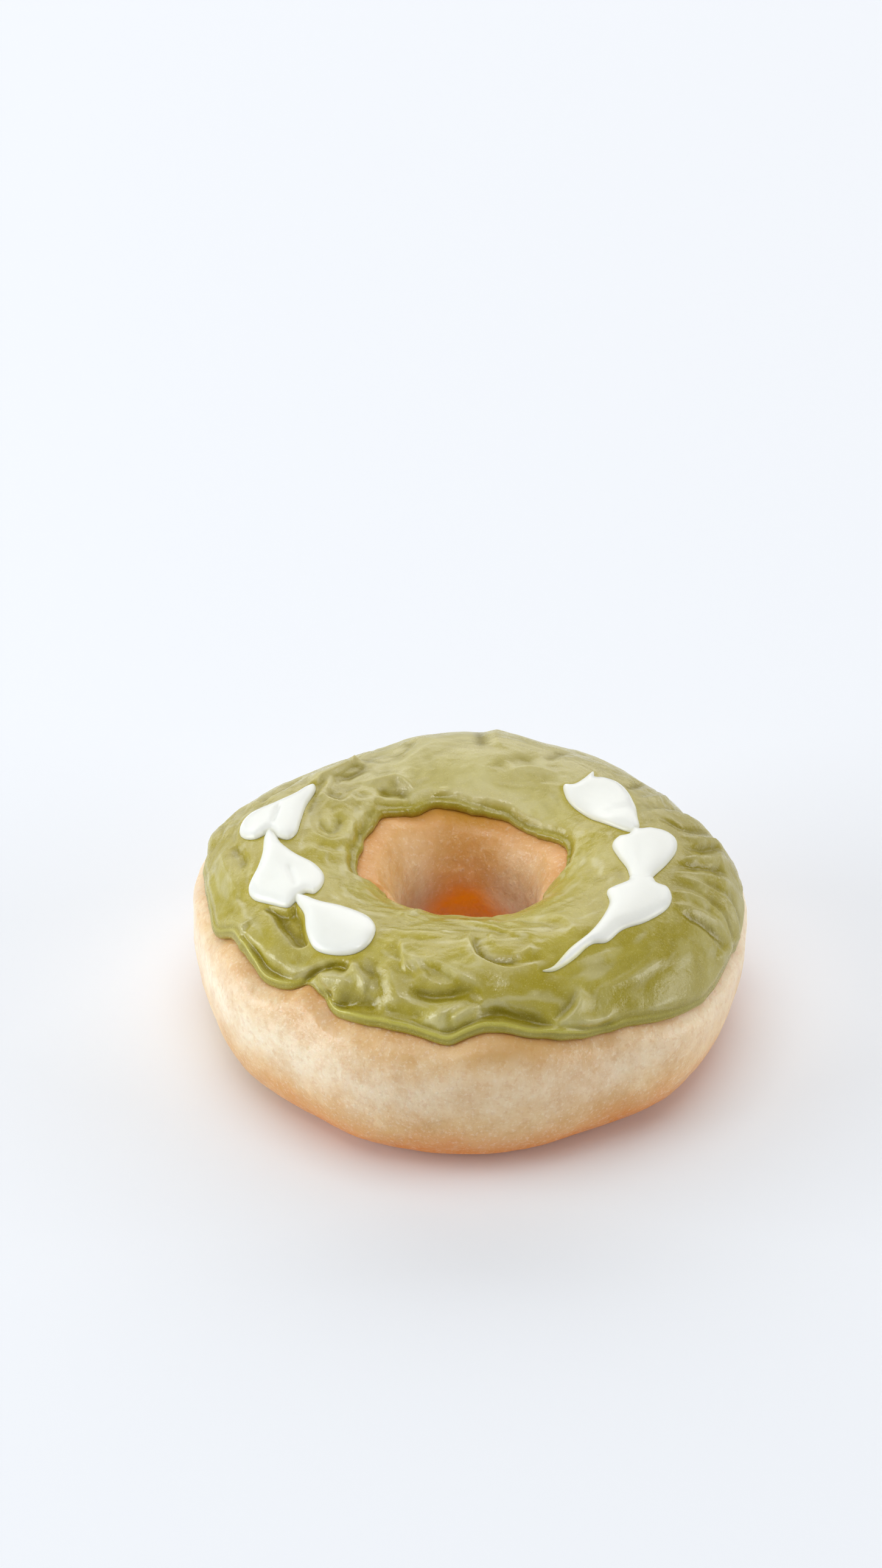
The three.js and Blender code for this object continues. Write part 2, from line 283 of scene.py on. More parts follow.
# Ridges and grooves left by the spatula, seen from above:
# (height, width to the left of the line, width to the right, points).
STROKES = [
    # the fold that crosses the lip in front
    (1.2, 0.35, 2.4, [(11, -38.6), (12.8, -37.8), (14.7, -36.2), (16.1, -34.4), (16.8, -32.2)]),
    (1.0, 0.5, 0.5, [(-2.6, -39.2), (-1.1, -38.6), (0.3, -38), (1.8, -37.6)]),
    # the hollows behind the lip
    (-1.7, 1.1, 0.6, [
        (0.8, -38.5), (2.8, -38.3), (4.9, -38), (7.2, -38.1), (10.2, -38), (12.6, -37.3),
    ]),
    (-1.5, 1.4, 0.6, [(-20.4, -33.5), (-18, -34.5), (-16.3, -35), (-14.5, -35.7), (-12.4, -36.7)]),
    (-0.7, 0.9, 0.5, [(-13.6, -36.2), (-10.4, -37.3), (-7.4, -38.2), (-5, -38.7)]),
    # the fold above the lip, sharp along its crest, and the pit below it
    (1.2, 2.4, 0.6, [
        (-7.6, -30.6), (-4.3, -31.9), (-2.3, -33.1), (-0.8, -34), (0.7, -34.6), (2, -35.4),
        (2.5, -36.6),
    ]),
    (-1.2, 0.9, 1.0, [
        (-8.8, -35), (-7, -35.6), (-4.6, -36.2), (-1.6, -36.1), (0.1, -35.6), (0.6, -34.8),
    ]),
    (0.8, 1.0, 0.8, [(-5.6, -39), (-2.8, -38), (-1.1, -37.4), (0.8, -37.1)]),
    # swirl in the front middle
    (0.9, 0.45, 3.2, [
        (0.5, -23.6), (-0.1, -26.4), (0.4, -28.7), (1.3, -30.7), (3.4, -32), (5.8, -32.5),
        (8.7, -31.6), (11.4, -30),
    ]),
    (-0.6, 0.8, 0.5, [
        (1.4, -24.6), (1, -26.8), (1.3, -29.1), (2.2, -30.5), (4.2, -31), (6.4, -30.9),
        (8.4, -29.8),
    ]),
    (0.5, 0.5, 1.0, [(6.2, -29.9), (7.6, -29.5), (8.7, -28.6), (9.4, -27.2)]),
    (0.4, 1.6, 0.5, [(3.8, -23.8), (3.2, -26.4), (4.2, -28.2)]),
    # folds to the left of the swirl
    (0.8, 2.6, 0.4, [(-9.9, -26.4), (-9.6, -28.8), (-9.3, -31), (-8.8, -33.2)]),
    (0.5, 1.0, 1.0, [(-8.6, -29.6), (-7.2, -32), (-5.6, -34.2)]),
    (0.5, 1.6, 1.6, [(-12.2, -29.8), (-11.2, -32.8), (-10.2, -35.6), (-9.8, -37)]),
    (-0.5, 1.0, 1.0, [(-14.8, -28.8), (-13.6, -31.8), (-12.6, -34.4), (-11.5, -36.8)]),
    (0.8, 0.5, 1.3, [(-17.4, -28.8), (-16, -31.2), (-15.1, -33), (-15.8, -34.8)]),
    # lobes along the left of the lip, and the gap between them
    (0.9, 1.8, 1.6, [
        (-36.4, -11), (-34.4, -15.4), (-32.4, -19.4), (-30.2, -22.8), (-28.2, -25),
        (-26, -26.4), (-24.2, -26.8),
    ]),
    (-1.0, 0.8, 0.4, [(-33.2, -18.6), (-31.6, -22), (-29.8, -24.8), (-27.8, -26.7), (-26, -27.7)]),
    (-1.4, 0.4, 0.45, [(-25.4, -29.2), (-24, -28.6), (-22.6, -28.4), (-21, -28.6)]),
    (-1.2, 0.6, 0.6, [(-22, -28.8), (-20.2, -28.6), (-18.8, -29.2), (-17.6, -30.4)]),
    (1.0, 0.8, 1.6, [(-24.2, -30), (-22, -30.2), (-20, -30.7), (-18.1, -31.7), (-16.6, -33)]),
    (-0.7, 0.6, 0.5, [(-23, -31.4), (-21.4, -32), (-19.8, -32.6)]),
    (0.6, 0.3, 0.5, [(-32.5, -15.6), (-33.2, -16.9), (-33.8, -18.2), (-34.1, -20)]),
    # right of the lip: the dark seam and the bumps above it
    (-1.2, 0.6, 0.5, [(14, -38.1), (16.6, -37.3), (19.2, -36), (22, -34.2)]),
    (0.7, 0.5, 0.4, [(15, -36.3), (17.4, -35.7), (19.6, -34.7), (21.8, -33.2)]),
    (0.35, 0.8, 0.4, [(18, -32.6), (22, -30.4), (26, -27.4), (29.6, -23.6)]),
    (0.3, 1.4, 0.5, [(14, -29.6), (18.4, -28.2), (22.6, -25.4)]),
    # layered folds on the right flank
    (0.6, 0.5, 2.4, [
        (29.6, -12), (32, -10.6), (34.8, -10), (37.3, -9.7), (39.4, -10.2), (40.6, -12.6),
    ]),
    (0.7, 0.6, 2.0, [
        (31, -7.4), (33, -7.2), (35.6, -6.8), (38, -6), (40, -6), (41.4, -8.4), (41.2, -11.6),
    ]),
    (0.6, 0.5, 1.4, [(30.6, -6.7), (32.8, -5.8), (34.8, -4.8), (38.5, -2.2), (41, -0.6)]),
    (-0.5, 0.6, 0.6, [(31.9, -4.4), (34.7, -2.8), (37.6, -0.8), (39.6, 1.4)]),
    (0.6, 0.5, 1.2, [(31.6, -3.3), (34.8, -0.5), (37.7, 2.4), (40, 6.8)]),
    (-0.5, 0.6, 0.7, [(33.6, 0.8), (35.6, 2.6), (37.6, 5), (39.4, 8.6)]),
    (0.6, 0.5, 1.2, [(32.2, 4.4), (35, 4.8), (37.6, 7.6), (39.8, 10.6)]),
    (-0.5, 0.8, 0.7, [(28.8, 7.4), (31.4, 7), (33.6, 6.6), (35.6, 8.4), (37, 10.6)]),
    (0.6, 0.6, 1.4, [(27.3, 8.4), (30.6, 11.1), (33.5, 12.4), (35.9, 12.9), (37.8, 14.4)]),
    (-0.5, 1.0, 1.0, [(28.6, 11), (31, 12.6), (33, 15.4), (33.6, 18)]),
    (0.6, 1.0, 1.5, [(26.6, 14), (29, 16), (30.6, 19), (31, 21.6)]),
    (-0.5, 1.2, 0.9, [(24.4, 18), (26.4, 20.4), (27.4, 23.6)]),
    (0.45, 0.35, 0.5, [(37.6, -17.6), (39.4, -13.4), (40.8, -10.6)]),
    (0.6, 0.5, 1.4, [(30.2, -14.1), (34.3, -12.8), (38, -11.6), (40, -11.4)]),
    (-0.6, 0.7, 0.6, [(31.6, -15.2), (34.6, -14.6), (37, -14), (38.6, -13.8)]),
    # back
    (-0.4, 0.9, 1.0, [(2.3, 37.5), (1.7, 35), (1.9, 31), (2.1, 27)]),
    (0.5, 2.4, 0.8, [(5.6, 36.6), (4.4, 34), (4.2, 30), (5.6, 26)]),
    (-0.5, 1.0, 1.2, [(15.5, 30), (13.8, 27), (12, 24.5)]),
    (0.6, 0.6, 2.4, [(16, 37.4), (20, 34.4), (24, 31.4), (27, 27.6)]),
    (0.5, 0.6, 1.8, [(-14, 37.6), (-9, 38.6), (-3, 39), (1, 38.4)]),
    (-0.4, 1.2, 1.2, [(-9, 33), (-10, 28.5), (-13, 26)]),
    (0.4, 2.0, 0.8, [(-4, 33), (-6, 28.6), (-10, 24.6), (-13, 23)]),
    # above the hole
    (0.9, 1.4, 0.6, [
        (-17.4, 17.6), (-15.1, 18.2), (-13, 19.7), (-11.2, 20.2), (-9.4, 19), (-8.2, 18.4),
    ]),
    (-0.8, 1.1, 1.0, [(-14.6, 15.9), (-12.4, 17), (-10.6, 17.2), (-8.8, 16.9)]),
    (0.8, 1.0, 1.3, [(-16, 14.4), (-14.8, 12.8), (-14.5, 10.6), (-15.2, 8.4), (-16.6, 6)]),
    (0.5, 0.8, 0.7, [(-9.2, 15.2), (-6.6, 16.7), (-4, 17.7), (-1.8, 17)]),
    (0.35, 0.6, 1.4, [(6, 21), (9, 22.4), (12, 22.2), (14.6, 20.4)]),
    (-0.3, 1.0, 1.6, [(3, 21.4), (6.6, 24), (11, 24.4)]),
    # the ridge from the upper left heart to the pulled peak, and the wrinkles beside it
    (1.6, 2.2, 0.45, [
        (-24.4, 15.6), (-22.6, 17.8), (-20.8, 20), (-19.2, 22.2), (-18, 24), (-17.6, 25),
    ]),
    (-0.5, 0.5, 1.0, [(-20.4, 17.8), (-18.6, 19.8), (-17, 22.2), (-16.2, 24.2)]),
    (0.6, 0.5, 0.9, [(-21.4, 18.9), (-21.7, 16.4), (-22.3, 13.6), (-23, 11.6)]),
    (-0.8, 0.45, 0.5, [(-24, 13.6), (-24.8, 10.7), (-25.1, 7.6)]),
    (0.45, 0.6, 1.4, [
        (-24.6, 5.4), (-23.6, 2.2), (-21.4, 1), (-19.2, 2.6), (-18.2, 6.2), (-18.5, 9.8),
    ]),
    (-0.5, 0.9, 0.6, [(-23.2, 6.4), (-22.2, 4), (-20.8, 3.8), (-20, 6), (-20.2, 8.6)]),
    (0.7, 0.6, 1.2, [(-23.4, 14.8), (-23.1, 13.1), (-21, 11.3), (-18.9, 12.2), (-17.7, 15.7)]),
    (0.4, 0.7, 1.6, [(-25.6, -0.4), (-22.6, -2.2), (-19.4, -1.4), (-17, 1)]),
    # left flank, with the corner of its shoulder
    (1.0, 1.3, 1.5, [(-35.4, 19.6), (-37.8, 15.8), (-39.3, 12), (-40.2, 7.6)]),
    (-1.7, 1.3, 1.3, [(-35.6, 18.6), (-34.2, 20.4), (-32.6, 22.4), (-30.4, 24.6)]),
    (0.5, 1.6, 0.8, [(-38.6, 5), (-37.4, 0), (-36, -5), (-34.4, -9.6)]),
    (-0.5, 0.8, 0.9, [(-36.6, 3.4), (-35, -0.4), (-34, -4.6)]),
    (0.6, 0.7, 1.9, [(-38.4, 12), (-35.8, 16.6), (-32.2, 20.6), (-29, 23.4)]),
    (-0.5, 1.0, 1.0, [(-33.6, 14), (-30.4, 17.4), (-27.6, 20.6), (-25, 23)]),
    (0.6, 0.6, 2.2, [(-31, 27), (-26.4, 30.6), (-21.6, 33.4), (-18, 36)]),
    # between the hole and the front
    (0.45, 0.6, 1.8, [(-7, -13.6), (-8.2, -17.4), (-11.4, -20.2)]),
    (-0.35, 0.8, 0.8, [(3.4, -13), (3, -17.5)]),
    (-0.35, 1.2, 1.2, [(7, -20), (11, -21), (14, -23)]),
    (0.45, 1.8, 0.6, [(-4, -19), (2, -21.6), (7, -24.6), (12, -25)]),
    (0.4, 0.6, 2.2, [(-13, -22.6), (-9.6, -24.6), (-5, -24.6), (-2, -22.8)]),
    (0.35, 2.0, 0.8, [(12, -18), (15, -21.4), (16.6, -25)]),
]

# The tip that the spatula pulled up: place, height and radius.
PULLED_PEAK = ((-17.9, 24.6), 1.4, 0.9)

# The hollow between the lower left heart and the drop, seen from above.
HOLLOW = [
    (-30.4, -14.5), (-29.4, -16.7), (-28.4, -19.3), (-27.2, -21.5), (-26.2, -23.2), (-25, -24.1),
    (-23.8, -23.9), (-23.8, -21.8), (-24, -19.6), (-24.4, -17.4), (-25.6, -15),
]
HOLLOW_DEPTH = 1.3

# How strongly the icing is worked up, around the ring.
restless = around_ring([
    (0, 1.1), (40, 1.0), (75, 0.7), (100, 0.7), (125, 1.4), (165, 1.4), (185, 0.9), (230, 1.0),
    (262, 1.1), (285, 0.8), (305, 0.55), (330, 0.7), (346, 1.0),
])


def distance_to_line(plan, line):
    """Distance from each point to a line, which side of it the point is on, and how far along."""
    best = np.full(plan.shape[:-1], np.inf)
    side = np.zeros(plan.shape[:-1])
    along = np.zeros(plan.shape[:-1])
    lengths = np.hypot(*np.diff(line, axis=0).T)
    reached = np.concatenate([[0.0], np.cumsum(lengths)])
    for start, end, length, before in zip(line[:-1], line[1:], lengths, reached):
        run = (end - start) / length
        relative = plan - start
        share = np.clip(relative @ run, 0.0, length)
        gap = relative - share[..., None] * run
        distance = np.hypot(gap[..., 0], gap[..., 1])
        nearer = distance < best
        best = np.where(nearer, distance, best)
        side = np.where(nearer, run[0] * relative[..., 1] - run[1] * relative[..., 0], side)
        along = np.where(nearer, before + share, along)
    return best, side, along / reached[-1]


def stroke_relief(plan, stroke):
    """A ridge with a sharp crest, or a rounded groove, that fades towards both ends."""
    height, left_width, right_width, points = stroke
    line = smooth_line(points, steps=5)
    reach = 3.0 * max(left_width, right_width)
    near = np.all((plan > line.min(axis=0) - reach) & (plan < line.max(axis=0) + reach), axis=-1)
    relief = np.zeros(plan.shape[:-1])
    distance, side, along = distance_to_line(plan[near], line)
    blend = smoothstep(side / np.maximum(distance, 0.2), -1.0, 1.0)
    width = right_width + (left_width - right_width) * blend
    taper = smoothstep(along, -0.05, 0.3) * smoothstep(-along, -1.05, -0.7)
    sharpness = 1.4 if height > 0 else 2.0
    relief[near] = height * taper * np.exp(-((distance / width) ** sharpness))
    return relief


def inside_outline(plan, outline):
    """Distance to a closed outline, positive inside it."""
    closed = np.vstack([outline, outline[:1]])
    distance, _, _ = distance_to_line(plan, closed)
    crossings = np.zeros(plan.shape[:-1], dtype=int)
    for start, end in zip(closed[:-1], closed[1:]):
        spans = (start[1] > plan[..., 1]) != (end[1] > plan[..., 1])
        rise = end[1] - start[1]
        if rise == 0:
            continue
        cut = start[0] + (plan[..., 1] - start[1]) * (end[0] - start[0]) / rise
        crossings += spans & (plan[..., 0] < cut)
    return np.where(crossings % 2 == 1, distance, -distance)


def white_depth(plan):
    """Distance inside the white icing's outlines, negative outside them and never below -4."""
    margin = 4.0
    depth = np.full(plan.shape[:-1], -margin)
    for line in WHITE_LINES:
        near = np.all((plan > line.min(axis=0) - margin) & (plan < line.max(axis=0) + margin), axis=-1)
        depth[near] = np.maximum(depth[near], inside_outline(plan[near], line))
    return depth


def brushed(theta, radius, length, width, offset):
    """Noise drawn out along the way that a spatula goes around the ring."""
    turns = CROWN_RADIUS / length
    place = np.stack([turns * np.cos(theta), turns * np.sin(theta), radius / width], axis=-1)
    return wander(place, 1.0, offset)


def wrinkles(place, size, offset):
    """Noise with sharp crests, from 0 in its valleys to 1 on its crests."""
    return 1.0 - np.abs(1.9 * wander(place, size, offset))


def icing_relief(theta, phi, depth_in_white, with_peak=True):
    """Height of the green icing's surface over the smooth iced section."""
    radius, height = section_point(theta, phi)
    place = np.stack([radius * np.cos(theta), radius * np.sin(theta), height], axis=-1)
    sway = [wander(place, 9.0, 3.1), wander(place, 9.0, 8.7), wander(place, 9.0, 6.6)]
    bent = place + 4.0 * np.stack(sway, axis=-1)
    calm = smoothstep(-depth_in_white, -0.1, 1.1)
    patches = smoothstep(wander(place, 12.0, 5.9), -0.25, 0.35)
    folds = 0.10 * wander(bent, 3.6, 5.3) + 0.03 * wander(bent, 1.4, 2.9)
    folds = folds + 0.32 * (wrinkles(bent, 9.0, 0.4) - 0.6) * patches
    folds = folds + 0.09 * (wrinkles(bent, 3.4, 7.2) - 0.6)
    wavering = radius + 3.0 * wander(place, 8.0, 2.3)
    folds = folds + 0.11 * brushed(theta, wavering, 5.0, 1.3, 3.3)
    folds = folds + 0.05 * brushed(theta, wavering, 3.0, 0.6, 6.1)
    relief = 0.34 * wander(place, 10.0, 1.7) + restless(theta) * folds * (0.15 + 0.85 * calm)
    plan = place[..., :2]
    drawn = sum(stroke_relief(plan, stroke) for stroke in STROKES)
    hollow = inside_outline(plan, smooth_line(HOLLOW, closed=True, steps=4))
    drawn = drawn - HOLLOW_DEPTH * smoothstep(hollow, -0.4, 0.7)
    relief = relief + drawn * calm
    if with_peak:
        centre, peak_height, peak_radius = PULLED_PEAK
        reach = np.hypot(plan[..., 0] - centre[0], plan[..., 1] - centre[1])
        relief = relief + peak_height * np.exp(-((reach / peak_radius) ** 1.4))
    return relief


# ---------------------------------------------------------------- mesh helpers

def mesh_object(name, points, faces, material):
    """An object from points in millimetres and quads."""
    mesh = bpy.data.meshes.new(name)
    mesh.from_pydata((points * MM).tolist(), [], faces.tolist())
    mesh.validate()
    mesh.shade_smooth()
    mesh.materials.append(material)
    thing = bpy.data.objects.new(name, mesh)
    bpy.context.collection.objects.link(thing)
    return thing


def ring_mesh(name, points, material):
    """A closed ring from points[theta][section], with both directions closed."""
    around, along = points.shape[:2]
    i, j = np.meshgrid(np.arange(around), np.arange(along), indexing="ij")
    i_next = (i + 1) % around
    j_next = (j + 1) % along
    corners = [i * along + j, i_next * along + j, i_next * along + j_next, i * along + j_next]
    faces = np.stack(corners, axis=-1).reshape(-1, 4)
    return mesh_object(name, points.reshape(-1, 3), faces, material)


def paint(thing, name, values):
    """A number for each vertex that the material reads."""
    attribute = thing.data.attributes.new(name, "FLOAT", "POINT")
    attribute.data.foreach_set("value", np.asarray(values, dtype=np.float32).ravel())


# ---------------------------------------------------------------- material helpers

class Nodes:
    """Short calls for building a material's nodes."""

    def __init__(self, name):
        self.material = bpy.data.materials.new(name)
        self.material.use_nodes = True
        self.tree = self.material.node_tree
        self.shader = self.tree.nodes["Principled BSDF"]

    def add(self, kind, inputs=None, **settings):
        node = self.tree.nodes.new(kind)
        for key, value in settings.items():
            setattr(node, key, value)
        for key, value in (inputs or {}).items():
            self.set(node, key, value)
        return node

    def set(self, node, key, value):
        if isinstance(value, bpy.types.NodeSocket):
            self.tree.links.new(value, node.inputs[key])
        else:
            node.inputs[key].default_value = value

    def attribute(self, name):
        return self.add("ShaderNodeAttribute", attribute_name=name).outputs["Fac"]

    def noise(self, scale, detail=3.0, roughness=0.5, vector=None):
        inputs = {"Scale": scale, "Detail": detail, "Roughness": roughness}
        inputs["Vector"] = vector or self.place()
        return self.add("ShaderNodeTexNoise", inputs).outputs["Fac"]

    def place(self):
        return self.add("ShaderNodeTexCoord").outputs["Object"]

    def warped(self, reach, scale):
        """The place, pushed about by up to reach."""
        wind = self.add("ShaderNodeTexNoise", {"Vector": self.place(), "Scale": scale, "Detail": 2.0})
        inputs = {0: wind.outputs["Color"], 1: (reach, reach, reach), 2: self.place()}
        return self.add("ShaderNodeVectorMath", inputs, operation="MULTIPLY_ADD").outputs[0]

    def ramp(self, value, low, high, to_low=0.0, to_high=1.0):
        inputs = {"Value": value, "From Min": low, "From Max": high, "To Min": to_low, "To Max": to_high}
        node = self.add("ShaderNodeMapRange", inputs, interpolation_type="SMOOTHSTEP")
        return node.outputs["Result"]

    def math(self, operation, first, second):
        """One sum or product of two numbers."""
        return self.add("ShaderNodeMath", {0: first, 1: second}, operation=operation).outputs[0]

    def mix(self, share, first, second):
        # Inputs 0, 6 and 7 are the share and the two colours, and output 2 is the colour.
        node = self.add("ShaderNodeMix", {0: share, 6: first, 7: second}, data_type="RGBA")
        return node.outputs[2]

    def bump(self, height, strength, distance, normal=None):
        inputs = {"Height": height, "Strength": strength, "Distance": distance}
        if normal:
            inputs["Normal"] = normal
        return self.add("ShaderNodeBump", inputs).outputs["Normal"]

    def finish(self, **inputs):
        for key, value in inputs.items():
            self.set(self.shader, key.replace("_", " "), value)
        return self.material


def colour(red, green, blue):
    """A linear colour from the 0 to 255 values that a screen shows."""
    def linear(value):
        share = value / 255.0
        return share / 12.92 if share <= 0.04045 else ((share + 0.055) / 1.055) ** 2.4

    return (linear(red), linear(green), linear(blue), 1.0)


# ---------------------------------------------------------------- materials

def dough_material():
    nodes = Nodes("dough")
    blotch = nodes.noise(80.0, 5.0, 0.6)
    patch = nodes.noise(330.0, 5.0, 0.65)
    fleck = nodes.noise(1700.0, 3.0, 0.65)
    pit = nodes.noise(900.0, 3.0, 0.6)
    cells = nodes.add("ShaderNodeTexVoronoi", {"Vector": nodes.place(), "Scale": 750.0})
    blister = nodes.ramp(cells.outputs["Distance"], 0.32, 0.1)
    blister = nodes.math("MULTIPLY", blister, nodes.ramp(patch, 0.5, 0.6))
    # pale is the pale band at the widest line, and low in the hole a painted glow that lifts the shade
    # there.
    pale = nodes.math("MULTIPLY", nodes.attribute("pale"), nodes.ramp(patch, 0.3, 0.6, 0.6, 1.0))
    # brown is the crust's brown below the widest line, with painted shade just under the icing's edges
    # and a painted glow of bounced light in the hole.
    brown = nodes.math("MULTIPLY", nodes.attribute("brown"), nodes.ramp(patch, 0.25, 0.6, 0.7, 1.0))
    base = nodes.mix(nodes.ramp(blotch, 0.32, 0.68), colour(212, 163, 96), colour(232, 195, 138))
    base = nodes.mix(nodes.ramp(patch, 0.46, 0.64, 0.0, 0.24), base, colour(246, 222, 180))
    base = nodes.mix(pale, base, colour(245, 230, 202))
    base = nodes.mix(brown, base, colour(219, 134, 46))
    base = nodes.mix(nodes.ramp(fleck, 0.52, 0.68, 0.0, 0.24), base, colour(255, 246, 226))
    base = nodes.mix(nodes.ramp(pit, 0.48, 0.34, 0.0, 0.22), base, colour(206, 146, 86))
    base = nodes.mix(nodes.ramp(blister, 0.0, 1.0, 0.0, 0.12), base, colour(255, 244, 222))
    # deep is a painted glow of light bounced deep in the hole, and at the floor the base's orange,
    # partly painted to warm the shade there.
    base = nodes.mix(nodes.attribute("deep"), base, colour(255, 148, 2))
    # A brown band under the icing's edge, darkened as painted shade under the icing.
    base = nodes.mix(nodes.attribute("brown_band_and_painted_shade"), base, colour(192, 138, 48))
    normal = nodes.bump(nodes.noise(300.0, 4.0, 0.6), 0.45, 0.0008)
    normal = nodes.bump(nodes.noise(1000.0, 4.0, 0.6), 0.34, 0.0003, normal)
    normal = nodes.bump(blister, 0.4, 0.00015, normal)
    return nodes.finish(
        Base_Color=base, Roughness=nodes.ramp(patch, 0.35, 0.65, 0.28, 0.5), Normal=normal,
        Subsurface_Weight=0.3, Subsurface_Radius=(1.0, 0.55, 0.25), Subsurface_Scale=0.003,
        Specular_IOR_Level=0.5,
    )


def green_material():
    nodes = Nodes("green_icing")
    cloud = nodes.noise(110.0, 4.0, 0.55)
    streak = nodes.noise(140.0, 5.0, 0.65, nodes.warped(0.010, 90.0))
    speckle = nodes.noise(4200.0, 2.0, 0.6)
    base = nodes.mix(nodes.ramp(cloud, 0.35, 0.65), colour(173, 160, 62), colour(161, 146, 36))
    base = nodes.mix(nodes.ramp(streak, 0.5, 0.66, 0.0, 0.45), base, colour(194, 186, 122))
    # Pale streaks, and painted sheen on the crests, the right flank and the back.
    base = nodes.mix(nodes.attribute("pale_streaks_and_painted_sheen"), base, colour(200, 192, 144))
    # Painted shade: darker olive in the hollows, along the coat's edges, on the right flank and
    # underneath.
    base = nodes.mix(nodes.attribute("hollow"), base, colour(138, 124, 8))
    # The thin edge's amber, painted bright enough to show against the shade under the edge.
    base = nodes.mix(nodes.attribute("amber"), base, colour(186, 134, 8))
    # A painted highlight along the crest of the rolled lip.
    base = nodes.mix(nodes.attribute("lip"), base, colour(190, 182, 74))
    # A darker yellow-green band around the white icing, partly painted contact shade.
    base = nodes.mix(nodes.attribute("halo"), base, colour(172, 158, 48))
    base = nodes.mix(nodes.ramp(speckle, 0.56, 0.7, 0.0, 0.3), base, colour(216, 206, 130))
    normal = nodes.bump(nodes.noise(420.0, 4.0, 0.6), 0.3, 0.0005)
    normal = nodes.bump(nodes.noise(1600.0, 3.0, 0.6), 0.3, 0.0002, normal)
    return nodes.finish(
        Base_Color=base, Roughness=nodes.ramp(streak, 0.35, 0.65, 0.22, 0.36), Normal=normal,
        Subsurface_Weight=0.15, Subsurface_Radius=(1.0, 0.9, 0.25), Subsurface_Scale=0.001,
        Specular_IOR_Level=0.6,
    )


def white_material():
    nodes = Nodes("white_icing")
    cloud = nodes.noise(150.0, 2.0, 0.5)
    base = nodes.mix(cloud, colour(234, 235, 225), colour(238, 238, 229))
    base = nodes.mix(nodes.attribute("thin"), base, colour(220, 216, 172))
    normal = nodes.bump(nodes.noise(500.0, 2.0, 0.5), 0.1, 0.0003)
    return nodes.finish(
        Base_Color=base, Roughness=0.26, Normal=normal, Subsurface_Weight=0.6,
        Subsurface_Radius=(1.0, 0.97, 0.9), Subsurface_Scale=0.0025, Specular_IOR_Level=0.5,
    )


def floor_material():
    nodes = Nodes("studio_floor")
    return nodes.finish(Base_Color=colour(247, 250, 255), Roughness=0.7, Specular_IOR_Level=0.15)


# ---------------------------------------------------------------- dough

DOUGH_AROUND = 480
DOUGH_SECTION = 204
DOUGH_INSET = 0.15

# How strong each zone of colour is, around the ring: the pale band at the widest line, and the
# brown below it. On the left the brown is weak and the pale band full, partly as painted light on that
# side.
pale_strength = around_ring([
    (0, 0.9), (60, 0.9), (120, 0.9), (180, 1.0), (222, 1.0), (245, 0.75), (275, 0.5), (300, 0.6),
    (330, 0.7),
])
brown_strength = around_ring([
    (0, 0.8), (90, 0.9), (180, 0.1), (205, 0.1), (222, 0.5), (240, 0.95), (270, 1.0),
    (300, 1.05), (325, 1.05),
])
# The orange at the floor, partly painted to warm the shade where the ring meets it; the brown band just
# below the icing's edges, partly painted shade under the icing; and the orange in the hole, a painted
# glow of light bounced between its walls.
floor_orange = around_ring([(0, 0.1), (180, 0.0), (212, 0.15), (235, 0.45), (300, 0.45), (330, 0.2)])
edge_brown_and_painted_shade = around_ring([
    (0, 0.4), (200, 0.3), (232, 0.6), (250, 0.4), (262, 0.8), (278, 1.1), (292, 0.9), (310, 0.5),
])
# How strong the painted glow in the hole is, around the ring.
hole_orange = around_ring([
    (0, 0.1), (45, 0.1), (62, 0.3), (76, 0.65), (95, 1.0), (112, 0.75), (128, 0.35),
    (142, 0.15), (270, 0.1),
])


